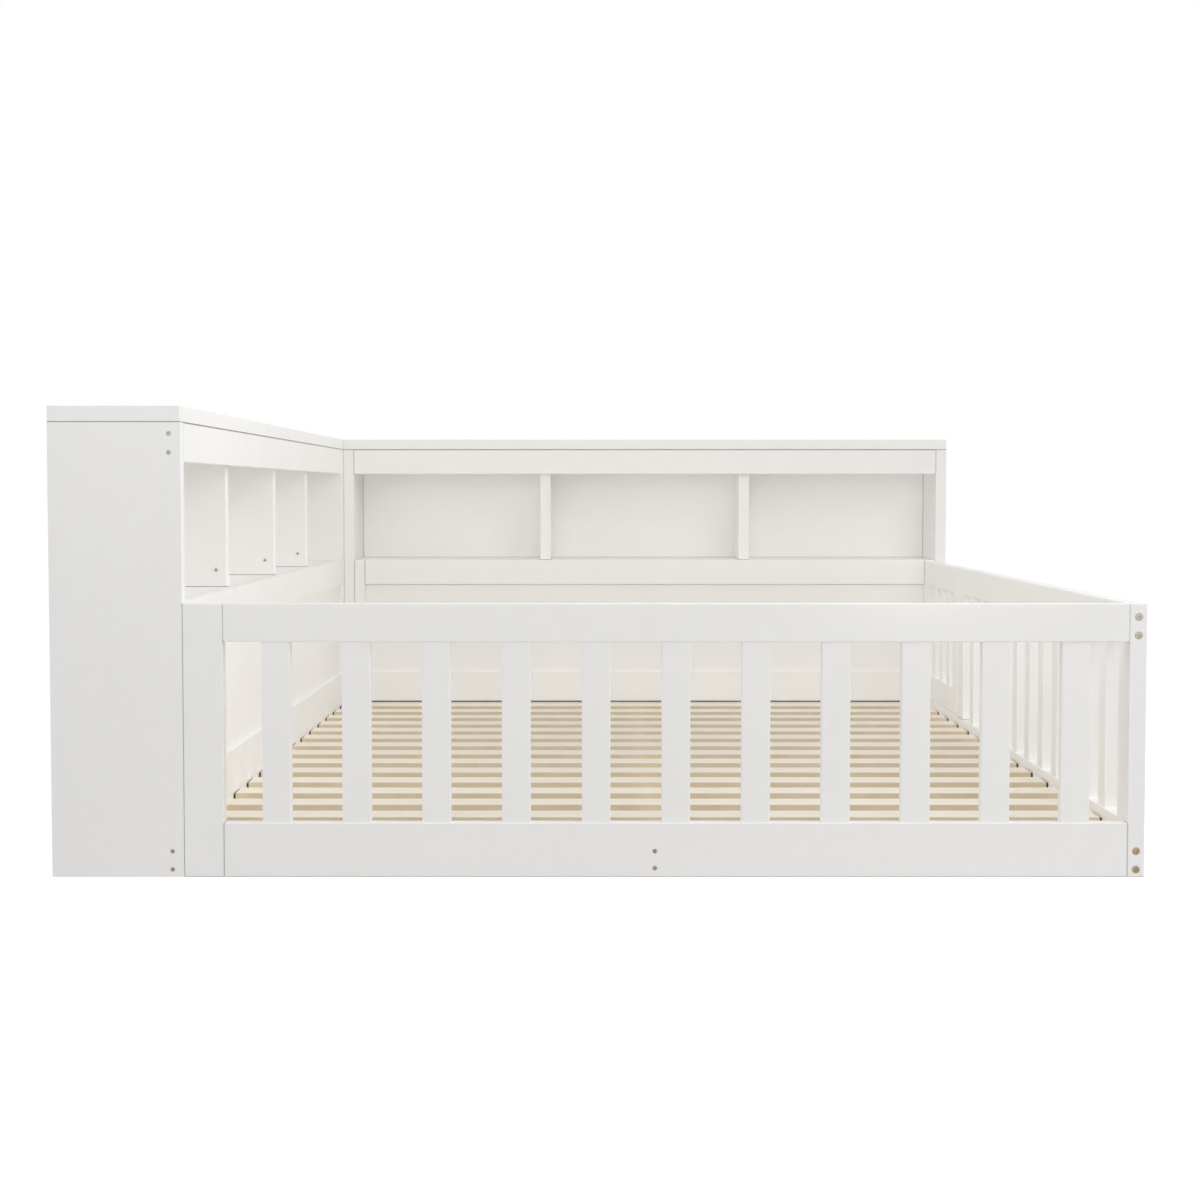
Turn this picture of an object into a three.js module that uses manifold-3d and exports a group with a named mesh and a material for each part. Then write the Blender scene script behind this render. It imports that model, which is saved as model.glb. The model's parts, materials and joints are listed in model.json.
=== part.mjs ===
// Daybed with shelved storage cases along its left side and its back,
// a slatted deck, a low railing in front and at the right, and a gate.
// Millimetres. X runs left to right, Y front to back, Z up.
// Every size below is measured from the left outer face, the front face
// and the floor; corner() moves it to the origin under the middle.

import * as THREE from 'three';
import { mergeVertices } from 'three/addons/utils/BufferGeometryUtils.js';
import Module from 'manifold-3d';

const wasm = await Module();
wasm.setup();

// Boards shared by the whole bed
const BOARD = 25;
const TOP_THICK = 24;
const THIN_PANEL = 5;

// Storage cases
const OVERALL_WIDTH = 1637;
const CASE_DEPTH = 195;
const SIDE_CASE_LENGTH = 1954;
const OVERALL_LENGTH = SIDE_CASE_LENGTH + CASE_DEPTH;
const CASE_BODY_HEIGHT = 670;
const FASCIA_HEIGHT = 58;
const SHELF_TOP = 406;
const APRON_HEIGHT = 58;
const BASE_RAIL_TOP = 139;
const BACK_BASE_RAIL_BOTTOM = 67;
// The last bay of each case takes what is left.
const SIDE_BAY_LENGTHS = [487, 499, 422];
const BACK_BAY_WIDTHS = [445, 452];

// Thin panels: the backs lie in rabbets, the infill panels in grooves
const REBATE_WIDTH = 8;
const BACK_PANEL_SLACK = 1;
const BACK_PANEL_LIFT = 10;
const INFILL_SETBACK = 10;
const GROOVE_DEPTH = 8;
const GROOVE_SLACK = 0.2;

// Slatted deck
const SLAT_COUNT = 15;
const SLAT_WIDTH = 65;
const SLAT_THICK = 15;
const FIRST_SLAT_GAP = 2;
const LAST_SLAT_GAP = 35;
const END_BATTEN_GAP = 2;
const SLAT_END_GAP = 3;
const LEDGER_HEIGHT = 50;

// Railing
const RAILING_TOP = 404;
const HANDRAIL_HEIGHT = 56;
const BED_RAIL_HEIGHT = 80;
const BALUSTER_WIDTH = 42;
const BALUSTER_THICK = 21;
const FRONT_POST_WIDTH = 59;
const FRONT_BALUSTER_COUNT = 11;
const FRONT_END_GAP = 56.75;
const CORNER_POST_WIDTH = 66;
const SIDE_BALUSTER_COUNT = 11;
const SIDE_FIRST_GAP = 87;
const SIDE_LAST_GAP = 73;

// Gate at the back end of the right side
const GATE_POST_WIDTH = 70;
const GATE_LENGTH = 462;
const GATE_HINGE_GAP = 3;
const GATE_FREE_GAP = 4;
const GATE_FLOOR_GAP = 3;
const GATE_STILE_WIDTH = 58;
const GATE_BOTTOM_RAIL_HEIGHT = 55;
const GATE_BALUSTER_COUNT = 3;

// Gate hinges
const LEAF_THICK = 2;
const LEAF_WIDTH = 22;
const LEAF_HEIGHT = 54;
const BARREL_RADIUS = 4;
const BARREL_STANDOFF = 5;
const BARREL_SEGMENTS = 32;
const KNUCKLE_GAP = 0.4;
const LEAF_EDGE_GAP = 0.5;
const PIN_RADIUS = 2;
const PIN_CLEARANCE = 0.1;
const HINGE_CENTRES = { lower: 150, upper: 337 };

// Planes that several pieces share
const CASE_TOP = CASE_BODY_HEIGHT + TOP_THICK;
const SIDE_FACE_BACK = CASE_DEPTH - BOARD;
const REAR_PANEL_START = SIDE_CASE_LENGTH - BOARD;
const BACK_FACE_BACK = SIDE_CASE_LENGTH + BOARD;
const BACK_PANEL_FACE = OVERALL_LENGTH - THIN_PANEL;
const RIGHT_PANEL_START = OVERALL_WIDTH - BOARD;
const RAILING_INNER_X = RIGHT_PANEL_START - BOARD;
const PARTITION_END = CASE_DEPTH + BOARD;
const LEFT_STILE_END = PARTITION_END + BOARD;
const SHELF_BOTTOM = SHELF_TOP - BOARD;
const APRON_BOTTOM = SHELF_TOP - APRON_HEIGHT;
const HANDRAIL_BOTTOM = RAILING_TOP - HANDRAIL_HEIGHT;
const BALUSTER_INSET = (BOARD - BALUSTER_THICK) / 2;
const GATE_END = SIDE_CASE_LENGTH - GATE_FREE_GAP;
const GATE_START = GATE_END - GATE_LENGTH;
const GATE_POST_END = GATE_START - GATE_HINGE_GAP;
const GATE_POST_START = GATE_POST_END - GATE_POST_WIDTH;
const GATE_BOTTOM = BED_RAIL_HEIGHT + GATE_FLOOR_GAP;

const PAINTED_WHITE = { color: 0xf4f3f0, roughness: 0.45, metalness: 0 };
const THIN_WHITE = { color: 0xefeeea, roughness: 0.55, metalness: 0 };
const PALE_WOOD = { color: 0xe0d6c2, roughness: 0.6, metalness: 0 };
const STEEL = { color: 0xb9bbbd, roughness: 0.35, metalness: 0.9 };

const group = new THREE.Group();
group.name = 'daybed';

function addPiece(name, geometry, look) {
  const mesh = new THREE.Mesh(geometry, new THREE.MeshStandardMaterial(look));
  mesh.name = name;
  group.add(mesh);
}

// Moves a geometry from the corner frame to the frame centred on the floor.
function corner(geometry, x, y, z) {
  return geometry.translate(x - OVERALL_WIDTH / 2, y - OVERALL_LENGTH / 2, z);
}

function block([x0, x1], [y0, y1], [z0, z1]) {
  const box = new THREE.BoxGeometry(x1 - x0, y1 - y0, z1 - z0);
  return corner(box, (x0 + x1) / 2, (y0 + y1) / 2, (z0 + z1) / 2);
}

function upright(radius, x, y, [z0, z1]) {
  const round = new THREE.CylinderGeometry(radius, radius, z1 - z0, BARREL_SEGMENTS);
  round.rotateX(Math.PI / 2);
  return corner(round, x, y, (z0 + z1) / 2);
}

function toSolid(geometry) {
  const bare = geometry.clone();
  bare.deleteAttribute('normal');
  bare.deleteAttribute('uv');
  const merged = mergeVertices(bare);
  return new wasm.Manifold(new wasm.Mesh({
    numProp: 3,
    vertProperties: new Float32Array(merged.attributes.position.array),
    triVerts: new Uint32Array(merged.index.array),
  }));
}

function toGeometry(solid) {
  const mesh = solid.getMesh();
  const geometry = new THREE.BufferGeometry();
  geometry.setAttribute('position', new THREE.BufferAttribute(mesh.vertProperties, 3));
  geometry.setIndex(new THREE.BufferAttribute(mesh.triVerts, 1));
  geometry.computeVertexNormals();
  return geometry;
}

// Joins some geometries into one body, then cuts others out of it.
function shape(joined, cut = []) {
  let solid = toSolid(joined[0]);
  for (const extra of joined.slice(1)) {
    solid = solid.add(toSolid(extra));
  }
  for (const tool of cut) {
    solid = solid.subtract(toSolid(tool));
  }
  return toGeometry(solid);
}

// Start positions of equal items spread evenly over a run, from end to end.
function spread(count, width, [start, end]) {
  const pitch = (end - start - width) / (count - 1);
  return Array.from({ length: count }, (_, index) => start + index * pitch);
}

// Start positions of the dividers that close off bays of the given lengths.
function dividersAfter(start, bays) {
  const starts = [];
  let position = start;
  for (const bay of bays) {
    starts.push(position + bay);
    position += bay + BOARD;
  }
  return starts;
}

function buildSideCase() {
  const bodyRun = [BOARD, REAR_PANEL_START];
  const insideDepth = [THIN_PANEL, SIDE_FACE_BACK];
  const faceDepth = [SIDE_FACE_BACK, CASE_DEPTH];
  const panelFront = CASE_DEPTH - INFILL_SETBACK;
  const panelDepth = [panelFront - THIN_PANEL, panelFront];
  const grooveDepth = [panelDepth[0] - GROOVE_SLACK, panelDepth[1] + GROOVE_SLACK];
  const caseDepth = [0, CASE_DEPTH];
  const bodyHeight = [0, CASE_BODY_HEIGHT];
  const rebateFront = [BOARD - REBATE_WIDTH, BOARD];
  const rebateRear = [REAR_PANEL_START, REAR_PANEL_START + REBATE_WIDTH];

  addPiece('side_case_front_panel', shape(
    [block(caseDepth, [0, BOARD], bodyHeight)],
    [block([0, THIN_PANEL], rebateFront, bodyHeight)],
  ), PAINTED_WHITE);
  addPiece('side_case_rear_panel', shape(
    [block(caseDepth, [REAR_PANEL_START, SIDE_CASE_LENGTH], bodyHeight)],
    [block([0, THIN_PANEL], rebateRear, bodyHeight)],
  ), PAINTED_WHITE);
  addPiece('side_case_top', block(
    caseDepth, [0, SIDE_CASE_LENGTH], [CASE_BODY_HEIGHT, CASE_TOP],
  ), PAINTED_WHITE);
  addPiece('side_case_fascia', block(
    faceDepth, bodyRun, [CASE_BODY_HEIGHT - FASCIA_HEIGHT, CASE_BODY_HEIGHT],
  ), PAINTED_WHITE);
  addPiece('side_case_shelf', block(
    insideDepth, bodyRun, [SHELF_BOTTOM, SHELF_TOP],
  ), PAINTED_WHITE);
  dividersAfter(BOARD, SIDE_BAY_LENGTHS).forEach((start, index) => {
    addPiece(`side_case_divider_${index + 1}`, block(
      insideDepth, [start, start + BOARD], [SHELF_TOP, CASE_BODY_HEIGHT],
    ), PAINTED_WHITE);
  });
  addPiece('side_case_apron', shape(
    [block(faceDepth, bodyRun, [APRON_BOTTOM, SHELF_TOP])],
    [block(grooveDepth, bodyRun, [APRON_BOTTOM, APRON_BOTTOM + GROOVE_DEPTH])],
  ), PAINTED_WHITE);
  addPiece('side_case_base_rail', shape(
    [block(faceDepth, bodyRun, [0, BASE_RAIL_TOP])],
    [block(grooveDepth, bodyRun, [BASE_RAIL_TOP - GROOVE_DEPTH, BASE_RAIL_TOP])],
  ), PAINTED_WHITE);
  addPiece('side_case_infill_panel', block(
    panelDepth, bodyRun, [BASE_RAIL_TOP - GROOVE_DEPTH, APRON_BOTTOM + GROOVE_DEPTH],
  ), THIN_WHITE);
  addPiece('side_case_back_panel', block(
    [0, THIN_PANEL],
    [rebateFront[0] + BACK_PANEL_SLACK, rebateRear[1] - BACK_PANEL_SLACK],
    [BACK_PANEL_LIFT, CASE_BODY_HEIGHT],
  ), THIN_WHITE);
}

function buildBackCase() {
  const caseRun = [SIDE_CASE_LENGTH, OVERALL_LENGTH];
  const faceRun = [SIDE_CASE_LENGTH, BACK_FACE_BACK];
  const insideRun = [BACK_FACE_BACK, BACK_PANEL_FACE];
  const panelFront = SIDE_CASE_LENGTH + INFILL_SETBACK;
  const panelRun = [panelFront, panelFront + THIN_PANEL];
  const grooveRun = [panelRun[0] - GROOVE_SLACK, panelRun[1] + GROOVE_SLACK];
  const rebateRun = [BACK_PANEL_FACE, OVERALL_LENGTH];
  const openWidth = [PARTITION_END, RIGHT_PANEL_START];
  const faceWidth = [LEFT_STILE_END, RAILING_INNER_X];
  const bodyHeight = [0, CASE_BODY_HEIGHT];
  const rebateLeft = [BOARD - REBATE_WIDTH, BOARD];
  const rebateRight = [RIGHT_PANEL_START, RIGHT_PANEL_START + REBATE_WIDTH];

  addPiece('back_case_left_panel', shape(
    [block([0, BOARD], caseRun, bodyHeight)],
    [block(rebateLeft, rebateRun, bodyHeight)],
  ), PAINTED_WHITE);
  addPiece('back_case_partition', block(
    [CASE_DEPTH, PARTITION_END], [SIDE_CASE_LENGTH, BACK_PANEL_FACE], bodyHeight,
  ), PAINTED_WHITE);
  addPiece('back_case_right_panel', shape(
    [block([RIGHT_PANEL_START, OVERALL_WIDTH], caseRun, bodyHeight)],
    [block(rebateRight, rebateRun, bodyHeight)],
  ), PAINTED_WHITE);
  addPiece('back_case_top', block(
    [0, OVERALL_WIDTH], caseRun, [CASE_BODY_HEIGHT, CASE_TOP],
  ), PAINTED_WHITE);
  addPiece('back_case_fascia', block(
    openWidth, faceRun, [CASE_BODY_HEIGHT - FASCIA_HEIGHT, CASE_BODY_HEIGHT],
  ), PAINTED_WHITE);
  addPiece('back_case_shelf', block(
    openWidth, insideRun, [SHELF_BOTTOM, SHELF_TOP],
  ), PAINTED_WHITE);
  dividersAfter(PARTITION_END, BACK_BAY_WIDTHS).forEach((start, index) => {
    addPiece(`back_case_divider_${index + 1}`, block(
      [start, start + BOARD], insideRun, [SHELF_TOP, CASE_BODY_HEIGHT],
    ), PAINTED_WHITE);
  });
  addPiece('back_case_left_stile', block(
    [PARTITION_END, LEFT_STILE_END], faceRun, [0, SHELF_TOP],
  ), PAINTED_WHITE);
  addPiece('back_case_right_stile', block(
    [RAILING_INNER_X, RIGHT_PANEL_START], faceRun, [0, SHELF_TOP],
  ), PAINTED_WHITE);
  addPiece('back_case_apron', shape(
    [block(faceWidth, faceRun, [APRON_BOTTOM, SHELF_TOP])],
    [block(faceWidth, grooveRun, [APRON_BOTTOM, APRON_BOTTOM + GROOVE_DEPTH])],
  ), PAINTED_WHITE);
  addPiece('back_case_base_rail', shape(
    [block(faceWidth, faceRun, [BACK_BASE_RAIL_BOTTOM, BASE_RAIL_TOP])],
    [block(faceWidth, grooveRun, [BASE_RAIL_TOP - GROOVE_DEPTH, BASE_RAIL_TOP])],
  ), PAINTED_WHITE);
  addPiece('back_case_infill_panel', block(
    faceWidth, panelRun, [BASE_RAIL_TOP - GROOVE_DEPTH, APRON_BOTTOM + GROOVE_DEPTH],
  ), THIN_WHITE);
  addPiece('back_case_back_panel', block(
    [rebateLeft[0] + BACK_PANEL_SLACK, rebateRight[1] - BACK_PANEL_SLACK],
    rebateRun,
    [BACK_PANEL_LIFT, CASE_BODY_HEIGHT],
  ), THIN_WHITE);
}

function buildDeck() {
  const deckRun = [BOARD, SIDE_CASE_LENGTH];
  const ledgerHeight = [0, LEDGER_HEIGHT];
  const slatHeight = [LEDGER_HEIGHT, LEDGER_HEIGHT + SLAT_THICK];
  const slatWidth = [CASE_DEPTH + SLAT_END_GAP, RAILING_INNER_X - SLAT_END_GAP];
  const beamCentre = (CASE_DEPTH + RAILING_INNER_X) / 2;
  const beamWidth = [beamCentre - BOARD / 2, beamCentre + BOARD / 2];
  const slatRun = [BOARD + FIRST_SLAT_GAP, SIDE_CASE_LENGTH - LAST_SLAT_GAP];
  const endBattenRun = [slatRun[1] + END_BATTEN_GAP, SIDE_CASE_LENGTH - END_BATTEN_GAP];

  addPiece('deck_ledger_left', block(
    [CASE_DEPTH, CASE_DEPTH + BOARD], deckRun, ledgerHeight,
  ), PALE_WOOD);
  addPiece('deck_ledger_right', block(
    [RAILING_INNER_X - BOARD, RAILING_INNER_X], deckRun, ledgerHeight,
  ), PALE_WOOD);
  addPiece('deck_centre_beam', block(beamWidth, deckRun, ledgerHeight), PALE_WOOD);
  spread(SLAT_COUNT, SLAT_WIDTH, slatRun).forEach((start, index) => {
    const number = String(index + 1).padStart(2, '0');
    addPiece(`deck_slat_${number}`, block(
      slatWidth, [start, start + SLAT_WIDTH], slatHeight,
    ), PALE_WOOD);
  });
  addPiece('deck_end_batten', block(slatWidth, endBattenRun, slatHeight), PALE_WOOD);
}

function buildFrontRailing() {
  const depth = [0, BOARD];
  const balusterDepth = [BALUSTER_INSET, BOARD - BALUSTER_INSET];
  const postEnd = CASE_DEPTH + FRONT_POST_WIDTH;
  const run = [postEnd, RAILING_INNER_X];
  const balusterRun = [run[0] + FRONT_END_GAP, run[1] - FRONT_END_GAP];
  const starts = spread(FRONT_BALUSTER_COUNT, BALUSTER_WIDTH, balusterRun);
  const handrail = block(run, depth, [HANDRAIL_BOTTOM, RAILING_TOP]);
  const balusters = starts.map((start) => block(
    [start, start + BALUSTER_WIDTH], balusterDepth, [BED_RAIL_HEIGHT, HANDRAIL_BOTTOM],
  ));

  addPiece('front_railing_post', block(
    [CASE_DEPTH, postEnd], depth, [0, RAILING_TOP],
  ), PAINTED_WHITE);
  addPiece('front_railing_balusters', shape([handrail, ...balusters]), PAINTED_WHITE);
  addPiece('front_bed_rail', block(run, depth, [0, BED_RAIL_HEIGHT]), PAINTED_WHITE);
}

function buildSideRailing() {
  const thickness = [RAILING_INNER_X, RIGHT_PANEL_START];
  const balusterThickness = [thickness[0] + BALUSTER_INSET, thickness[1] - BALUSTER_INSET];
  const balusterRun = [CORNER_POST_WIDTH + SIDE_FIRST_GAP, GATE_POST_START - SIDE_LAST_GAP];
  const starts = spread(SIDE_BALUSTER_COUNT, BALUSTER_WIDTH, balusterRun);
  const handrail = block(
    thickness, [CORNER_POST_WIDTH, GATE_POST_START], [HANDRAIL_BOTTOM, RAILING_TOP],
  );
  const balusters = starts.map((start) => block(
    balusterThickness, [start, start + BALUSTER_WIDTH], [BED_RAIL_HEIGHT, HANDRAIL_BOTTOM],
  ));

  addPiece('side_railing_corner_post', block(
    thickness, [0, CORNER_POST_WIDTH], [0, RAILING_TOP],
  ), PAINTED_WHITE);
  addPiece('side_railing_balusters', shape([handrail, ...balusters]), PAINTED_WHITE);
  addPiece('side_bed_rail', block(
    thickness, [CORNER_POST_WIDTH, SIDE_CASE_LENGTH], [0, BED_RAIL_HEIGHT],
  ), PAINTED_WHITE);
  addPiece('gate_post', block(
    thickness, [GATE_POST_START, GATE_POST_END], [BED_RAIL_HEIGHT, RAILING_TOP],
  ), PAINTED_WHITE);
}

function buildGate() {
  const thickness = [RAILING_INNER_X, RIGHT_PANEL_START];
  const balusterThickness = [thickness[0] + BALUSTER_INSET, thickness[1] - BALUSTER_INSET];
  const height = [GATE_BOTTOM, RAILING_TOP];
  const run = [GATE_START + GATE_STILE_WIDTH, GATE_END - GATE_STILE_WIDTH];
  const bottomRailTop = GATE_BOTTOM + GATE_BOTTOM_RAIL_HEIGHT;
  const filled = GATE_BALUSTER_COUNT * BALUSTER_WIDTH;
  const gap = (run[1] - run[0] - filled) / (GATE_BALUSTER_COUNT + 1);
  const starts = spread(GATE_BALUSTER_COUNT, BALUSTER_WIDTH, [run[0] + gap, run[1] - gap]);
  const topRail = block(thickness, run, [HANDRAIL_BOTTOM, RAILING_TOP]);
  const balusters = starts.map((start) => block(
    balusterThickness, [start, start + BALUSTER_WIDTH], [bottomRailTop, HANDRAIL_BOTTOM],
  ));

  addPiece('gate_hinge_stile', block(thickness, [GATE_START, run[0]], height), PAINTED_WHITE);
  addPiece('gate_free_stile', block(thickness, [run[1], GATE_END], height), PAINTED_WHITE);
  addPiece('gate_balusters', shape([topRail, ...balusters]), PAINTED_WHITE);
  addPiece('gate_bottom_rail', block(
    thickness, run, [GATE_BOTTOM, bottomRailTop],
  ), PAINTED_WHITE);
}

// Surface hinge in two pieces. The post leaf carries the outer knuckles,
// the gate leaf the middle knuckle and the pin that turns in them.
function buildHinge(label, centreZ) {
  const face = RIGHT_PANEL_START;
  const axisX = face + BARREL_STANDOFF;
  const axisY = (GATE_POST_END + GATE_START) / 2;
  const leafX = [face, face + LEAF_THICK];
  const bottom = centreZ - LEAF_HEIGHT / 2;
  const knuckle = LEAF_HEIGHT / 3;
  const leafHeight = [bottom, bottom + LEAF_HEIGHT];
  const lowKnuckle = [bottom, bottom + knuckle];
  const middleKnuckle = [lowKnuckle[1] + KNUCKLE_GAP, lowKnuckle[1] + knuckle - KNUCKLE_GAP];
  const highKnuckle = [leafHeight[1] - knuckle, leafHeight[1]];
  const plateEdge = BARREL_RADIUS + LEAF_EDGE_GAP;

  addPiece(`hinge_${label}_post_leaf`, shape(
    [
      block(leafX, [axisY - plateEdge - LEAF_WIDTH, axisY - plateEdge], leafHeight),
      block(leafX, [axisY - plateEdge, axisY], lowKnuckle),
      block(leafX, [axisY - plateEdge, axisY], highKnuckle),
      upright(BARREL_RADIUS, axisX, axisY, lowKnuckle),
      upright(BARREL_RADIUS, axisX, axisY, highKnuckle),
    ],
    [upright(PIN_RADIUS + PIN_CLEARANCE, axisX, axisY, leafHeight)],
  ), STEEL);
  addPiece(`hinge_${label}_gate_leaf`, shape([
    block(leafX, [axisY + plateEdge, axisY + plateEdge + LEAF_WIDTH], leafHeight),
    block(leafX, [axisY, axisY + plateEdge], middleKnuckle),
    upright(BARREL_RADIUS, axisX, axisY, middleKnuckle),
    upright(PIN_RADIUS, axisX, axisY, leafHeight),
  ]), STEEL);
}

buildSideCase();
buildBackCase();
buildDeck();
buildFrontRailing();
buildSideRailing();
buildGate();
for (const [label, centreZ] of Object.entries(HINGE_CENTRES)) {
  buildHinge(label, centreZ);
}

export default group;
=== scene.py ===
"""Dresses the daybed: rounded boards, pine slats, bolts, caps, screws and a studio."""

import json
import math

import bpy
from bpy.props import FloatProperty, FloatVectorProperty, IntProperty, PointerProperty
from mathutils import Matrix, Vector

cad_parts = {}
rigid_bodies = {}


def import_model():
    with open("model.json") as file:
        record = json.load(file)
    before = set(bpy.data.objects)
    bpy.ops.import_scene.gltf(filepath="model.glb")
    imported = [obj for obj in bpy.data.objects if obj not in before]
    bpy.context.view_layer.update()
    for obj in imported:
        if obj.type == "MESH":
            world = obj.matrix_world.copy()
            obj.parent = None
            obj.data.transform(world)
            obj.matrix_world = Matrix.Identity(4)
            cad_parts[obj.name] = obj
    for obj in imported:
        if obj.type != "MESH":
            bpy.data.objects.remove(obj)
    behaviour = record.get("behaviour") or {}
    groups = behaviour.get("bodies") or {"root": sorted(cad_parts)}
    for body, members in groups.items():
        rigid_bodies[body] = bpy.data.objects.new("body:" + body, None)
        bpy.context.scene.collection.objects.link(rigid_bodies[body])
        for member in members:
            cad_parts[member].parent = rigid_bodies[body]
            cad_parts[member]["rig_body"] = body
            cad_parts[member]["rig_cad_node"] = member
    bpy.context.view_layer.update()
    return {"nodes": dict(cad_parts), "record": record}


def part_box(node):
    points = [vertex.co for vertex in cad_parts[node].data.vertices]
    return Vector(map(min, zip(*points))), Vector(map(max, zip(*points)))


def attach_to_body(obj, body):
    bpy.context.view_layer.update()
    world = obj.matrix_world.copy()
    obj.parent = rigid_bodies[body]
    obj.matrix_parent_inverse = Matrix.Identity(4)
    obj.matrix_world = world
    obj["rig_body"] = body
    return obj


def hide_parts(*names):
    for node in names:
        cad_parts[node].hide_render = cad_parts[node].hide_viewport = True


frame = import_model()

bl_info = {
    "name": "Daybed with storage",
    "version": (1, 0, 0),
    "blender": (4, 5, 0),
    "location": "3D View > Sidebar > Daybed",
    "description": "Painted boards, pine slats, hardware and a studio for the daybed",
    "category": "Object",
}

SIDE_CASE_BOARDS = (
    "side_case_rear_panel",
    "side_case_top",
    "side_case_fascia",
    "side_case_shelf",
    "side_case_divider_1",
    "side_case_divider_2",
    "side_case_divider_3",
    "side_case_apron",
    "side_case_base_rail",
)
BACK_CASE_BOARDS = (
    "back_case_left_panel",
    "back_case_partition",
    "back_case_right_panel",
    "back_case_top",
    "back_case_fascia",
    "back_case_shelf",
    "back_case_divider_1",
    "back_case_divider_2",
    "back_case_left_stile",
    "back_case_right_stile",
    "back_case_apron",
    "back_case_base_rail",
)
THIN_PANELS = (
    "side_case_infill_panel",
    "side_case_back_panel",
    "back_case_infill_panel",
    "back_case_back_panel",
)
DECK_BEARERS = ("deck_ledger_left", "deck_ledger_right", "deck_centre_beam")
SLATS = tuple(sorted(name for name in frame["nodes"] if name.startswith("deck_slat_")))
HINGE_LEAVES = tuple(sorted(name for name in frame["nodes"] if name.startswith("hinge_")))
NODE_BOXES = {name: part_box(name) for name in frame["nodes"]}
BODY_OF = {
    node: body
    for body, nodes in frame["record"]["behaviour"]["bodies"].items()
    for node in nodes
}

# The space below the floor.
FLOOR_BOX = (Vector((-9, -9, -1)), Vector((9, 9, 0)))
# Turns that lay a new cylinder along an axis.
ALONG_X = (0, math.radians(90), 0)
ALONG_Y = (math.radians(90), 0, 0)
# Small lengths: points to merge, faces in one plane, and boards that touch.
MERGED = 0.00001
HAIR = 0.0001
TOUCH = 0.001
# No board is cut nearer to its ends than this.
UNCUT_END = 0.003
# A face looks along an axis from this share of its normal on.
ALONG_AXIS = 0.999
# Edges that turn by more than this are rounded.
SHARP_ANGLE = math.radians(40)
# A baluster's edge is upright where it rises by more than this.
UPRIGHT_RISE = 0.01

# Bolts: heights over the floor, and places beside an edge or a middle.
PANEL_BOLTS = (0.653, 0.6255, 0.038, 0.011)
BEAM_BOLTS = (0.038, 0.0126)
POST_BOLTS = (0.384, 0.357, 0.038, 0.0105)
PANEL_BOLT_INSET = 0.0173
BEAM_BOLT_SHIFT = -0.0015
POST_BOLT_SHIFT = 0.0003
BOLT_PLAY = 0.0002
SOCKET_CUTTER = 0.003
BOLTED_EDGE_SHARE = 0.8
# Bolts higher than this are olive, the others bronze.
OLIVE_ABOVE = 0.25

# Cam caps: their place on a divider, and how far the light reaches into the cross.
CAP_INSET = 0.018
CAP_HEIGHT = 0.029
CAP_THICKNESS = 0.0012
CAP_SINK = 0.0002
CAP_EDGE = 0.00015
CROSS_LIT = 0.0003

# Hinge screws: their place on a leaf, and how far they stand out of it.
LEAF_THICKNESS = 0.002
SCREW_INSET = 0.009
SCREW_RISE = 0.0009
SCREW_EDGE = 0.0003
SCREWS = (1, 2, 3)

# Colour, darker colour, roughness, and how far the grain is stretched along Z.
METALS = {
    "Satin steel": ((0.42, 0.425, 0.43), (0.35, 0.35, 0.35), 0.45, 0.05),
    "Plated screw": ((0.5, 0.49, 0.46), (0.38, 0.38, 0.37), 0.35, 1),
    "Olive plating": ((0.47, 0.455, 0.38), (0.37, 0.36, 0.295), 0.5, 1),
    "Bronze plating": ((0.44, 0.325, 0.22), (0.31, 0.23, 0.15), 0.5, 1),
}
CAP_COLOUR = (0.86, 0.86, 0.85)
# Painted shade inside the cam caps' cross recess.
CROSS_PAINTED_SHADE = (0.1, 0.09, 0.08)
# The pine's growth rings, and the height of the paint's and the pine's relief.
RINGS = {"Scale": 34, "Distortion": 7, "Detail": 3, "Detail Scale": 0.5}
RELIEF = 0.0002
GROUP_OUTPUTS = {"Colour": "Color", "Roughness": "Float", "Height": "Float"}

# Name, place, target, size, watts, and a spot's cone in degrees.
LAMPS = (
    ("corner_lamp", (1.6, -2, 2), (-0.2, -0.5, 0.3), 1.2, 14.5),
    ("panel_lamp", (-0.75, -1.6, 1), (-0.75, -1.07, 0.6), 0.3, 0.42),
    ("deck_lamp", (0.1, -0.8, 1), (0.1, -0.8, 0), 0.8, 0.8),
    ("gate_spot", (0.2, -2.2, 0.9), (0.8, 0.45, 0.2), 0.15, 26, 16),
)
# Name, azimuth from the front to the right, elevation, strength, softness; in degrees.
SUNS = (
    ("front_light", 0, 2, 0.63, 30),
    ("right_light", 90, 8, 1.56, 40),
    ("left_light", -90, 25, 0.68, 50),
    ("front_fill", 0, 5, 0.37),
    ("left_fill", -90, 8, 0.34),
    ("back_fill", 180, 5, 1.2),
    ("top_fill", 0, 90, 0.5),
)
# The floor's grey, and the white mixed into it for the camera and reflections.
FLOOR_GREY = 0.55
FLOOR_WHITE = 1.22
FLOOR_WHITE_SHARE = 0.75
FLOOR_SIZE = 60
FLOOR_DROP = 0.0005
SENSOR_WIDTH = 36
VIEW_END = 200


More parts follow.
